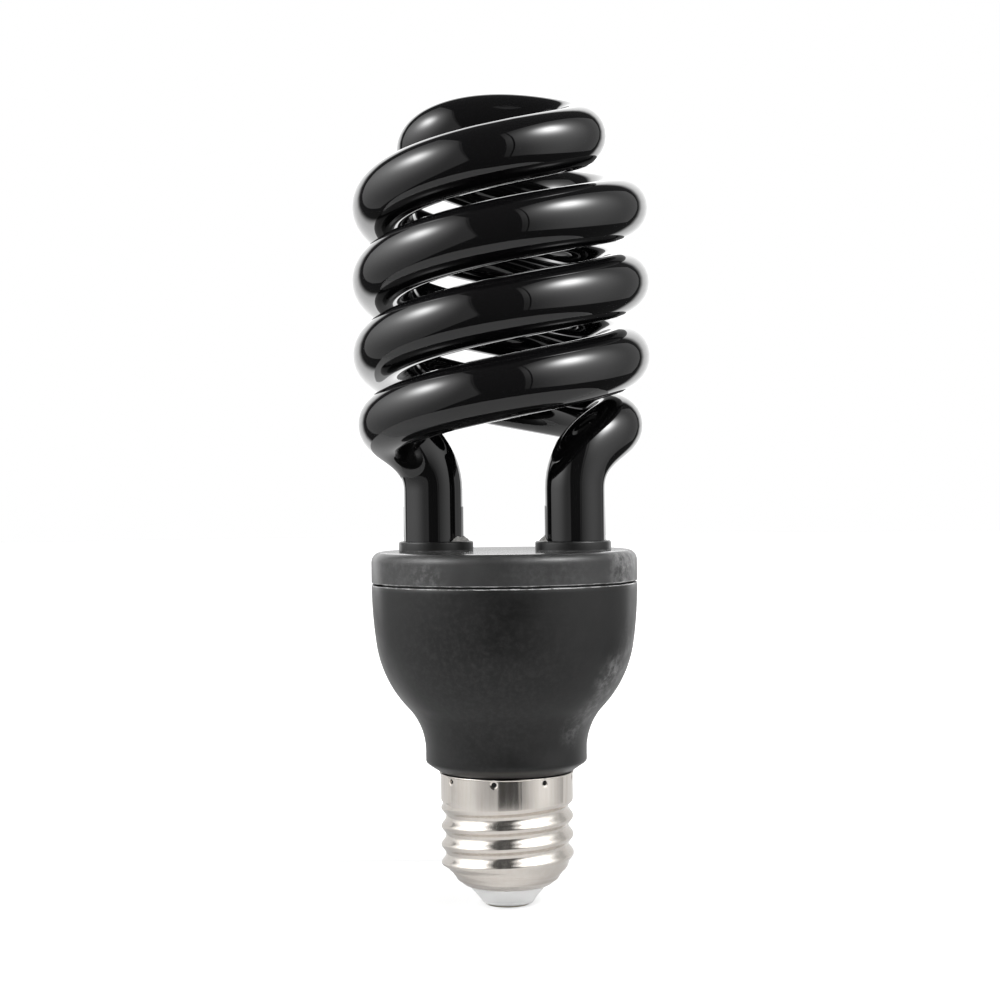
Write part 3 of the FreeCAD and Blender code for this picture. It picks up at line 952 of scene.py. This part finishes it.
class Glow(Finish):  # light given off, for the stage
    def __init__(self, name):
        super().__init__(name)
        self.nodes.remove(self.shader)
        self.lamp = self.nodes.new('ShaderNodeEmission')
        self.out = self.nodes["Material Output"]
        self.links.new(self.lamp.outputs[0], self.out.inputs["Surface"])

    def spot(self, point, reach, strength):
        gap = self.nodes.new('ShaderNodeVectorMath')
        gap.operation = 'DISTANCE'
        self.feed(gap.inputs[0], self.place)
        gap.inputs[1].default_value = point
        share = self.sum('DIVIDE', gap.outputs["Value"], reach)
        fall = self.sum('EXPONENT', self.sum('MULTIPLY', self.sum('MULTIPLY', share, share), -1.0), 0.0)
        return self.sum('MULTIPLY', fall, strength)


def buildPanel(name, corners, spots, line):
    deselectAll()
    bpy.ops.mesh.primitive_plane_add(size=1, location=(0, 0, 0))
    panel = bpy.context.object
    panel.name = name
    for vertex, corner in zip(panel.data.vertices, corners):
        vertex.co = corner
    f = Glow(name + " light")
    along = f.nodes.new('ShaderNodeTexCoord').outputs["UV"]
    back = f.add('ShaderNodeSeparateXYZ', Vector=along).outputs["Y"]
    glow = f.ramp(back, 0.0, studio["frontFade"], studio["frontGlow"] * studio["glow"], studio["glow"])
    for place, reach, strength in spots:
        glow = f.sum('ADD', glow, f.spot(place, reach, strength))
    edge = (line[1] - line[0]) / 3
    before = f.ramp(back, line[0], line[0] + edge, studio["lineFront"], 0.0)
    after = f.ramp(back, line[1] - edge, line[1], 0.0, 1.0)
    f.feed(f.lamp.inputs["Strength"], f.sum('MULTIPLY', glow, f.sum('ADD', before, after)))
    dress(panel, f.material)
    panel.visible_camera = False
    panel.visible_shadow = False


def floorMaterial():
    f = Glow("pale floor")
    diffuse = f.add('ShaderNodeBsdfDiffuse', Color=grey(studio["floorTone"]))
    away = f.nodes.new('ShaderNodeVectorMath')
    away.operation = 'LENGTH'
    f.feed(away.inputs[0], f.place)
    seen = f.nodes.new('ShaderNodeLightPath').outputs["Is Camera Ray"]
    far = f.ramp(away.outputs["Value"], studio["floorFade"], studio["floorNear"], *studio["floorGlow"])
    f.feed(f.lamp.inputs["Strength"], f.sum('MULTIPLY', far, seen))
    both = f.nodes.new('ShaderNodeAddShader')
    f.links.new(diffuse.outputs[0], both.inputs[0])
    f.links.new(f.lamp.outputs[0], both.inputs[1])
    f.links.new(both.outputs[0], f.out.inputs["Surface"])
    return f.material


def buildFloor():
    deselectAll()
    bpy.ops.mesh.primitive_circle_add(vertices=128, radius=studio["floorNear"], fill_type='NGON',
                                      location=(0, 0, 0))
    near = bpy.context.object
    near.name = "studio_floor"
    bpy.ops.mesh.primitive_circle_add(vertices=128, radius=studio["floorNear"], fill_type='NOTHING',
                                      location=(0, 0, 0))
    far = bpy.context.object
    far.name = "studio_floor_far"
    bpy.ops.object.mode_set(mode='EDIT')
    bpy.ops.mesh.select_all(action='SELECT')
    bpy.ops.mesh.extrude_region_move()
    grow = studio["floorFar"] / studio["floorNear"]
    bpy.ops.transform.resize(value=(grow, grow, 1))
    bpy.ops.object.mode_set(mode='OBJECT')
    material = floorMaterial()
    for floor in (near, far):
        dress(floor, material)
    far.visible_glossy = False  # the panels reach below the floor's level
    far.visible_diffuse = False
    far.visible_shadow = False


def buildCard():
    deselectAll()
    bpy.ops.mesh.primitive_plane_add(size=1, location=(0, 0, 0))
    card = bpy.context.object
    card.name = "grey_card"
    for vertex, (across, up) in zip(card.data.vertices, studio["card"]):
        vertex.co = (across, studio["cardBack"], up)
    f = Glow("grey card")
    cloud = f.ramp(f.noise(20, 2), 0.3, 0.7, 0.9 * studio["cardTone"], studio["cardTone"])
    f.feed(f.lamp.inputs["Strength"], cloud)
    dress(card, f.material)
    card.visible_camera = False
    card.visible_transmission = False
    card.visible_shadow = False


def buildWorld():
    world = bpy.data.worlds.new("studio")
    bpy.context.scene.world = world
    world.use_nodes = True
    nodes, links = world.node_tree.nodes, world.node_tree.links
    nodes.clear()
    rays = nodes.new('ShaderNodeLightPath')
    way = nodes.new('ShaderNodeTexCoord')
    split = nodes.new('ShaderNodeSeparateXYZ')
    links.new(way.outputs["Generated"], split.inputs[0])
    behind = nodes.new('ShaderNodeMapRange')  # the white backdrop, as glass and metal see it
    behind.interpolation_type = 'SMOOTHSTEP'
    keys = ("From Min", "From Max", "To Min", "To Max")
    for key, value in zip(keys, (*studio["backdropFrom"], studio["front"], studio["backdrop"])):
        behind.inputs[key].default_value = value
    links.new(split.outputs["Y"], behind.inputs["Value"])
    mirrored = nodes.new('ShaderNodeMath')
    mirrored.operation = 'MAXIMUM'
    links.new(rays.outputs["Is Glossy Ray"], mirrored.inputs[0])
    links.new(rays.outputs["Is Transmission Ray"], mirrored.inputs[1])
    deep = nodes.new('ShaderNodeMapRange')  # dimmer after a second reflection
    for key, value in zip(keys, (1, 2, 1.0, studio["inside"])):
        deep.inputs[key].default_value = value
    links.new(rays.outputs["Glossy Depth"], deep.inputs["Value"])
    dimmed = nodes.new('ShaderNodeMath')
    dimmed.operation = 'MULTIPLY'
    links.new(behind.outputs["Result"], dimmed.inputs[0])
    links.new(deep.outputs["Result"], dimmed.inputs[1])
    ambient = nodes.new('ShaderNodeMix')
    ambient.inputs["A"].default_value = studio["ambient"]
    links.new(mirrored.outputs[0], ambient.inputs["Factor"])
    links.new(dimmed.outputs[0], ambient.inputs["B"])
    level = nodes.new('ShaderNodeMix')
    level.inputs["B"].default_value = 1.0
    links.new(rays.outputs["Is Camera Ray"], level.inputs["Factor"])
    links.new(ambient.outputs["Result"], level.inputs["A"])
    background = nodes.new('ShaderNodeBackground')
    background.inputs["Color"].default_value = grey(1.0)
    links.new(level.outputs["Result"], background.inputs["Strength"])
    out = nodes.new('ShaderNodeOutputWorld')
    links.new(background.outputs[0], out.inputs["Surface"])


viewpoint = {
    "distance": 400,
    "height": 82.0,
    "side": -0.64,
    "roll": 0.7,
    "lens": 73.0,
    "sensor": 36,
    "shift": -0.0125,
    "clip": 0.01,
}


def buildCamera():
    data = bpy.data.cameras.new("front")
    camera = bpy.data.objects.new("front", data)
    bpy.context.scene.collection.objects.link(camera)
    camera.location = Vector((viewpoint["side"], -viewpoint["distance"], viewpoint["height"])) * mm
    camera.rotation_euler = (math.pi / 2, math.radians(viewpoint["roll"]), 0)
    data.sensor_width = viewpoint["sensor"]
    data.lens = viewpoint["lens"]
    data.shift_y = viewpoint["shift"]
    data.clip_start = viewpoint["clip"]
    bpy.context.scene.camera = camera


buildPanel("left_panel", studio["leftPanel"], studio["leftSpots"], studio["leftLine"])
buildPanel("right_panel", studio["rightPanel"], studio["rightSpots"], studio["rightLine"])
buildFloor()
buildCard()
buildWorld()
buildCamera()
bpy.context.scene.view_settings.view_transform = 'Standard'
print("studio ready")
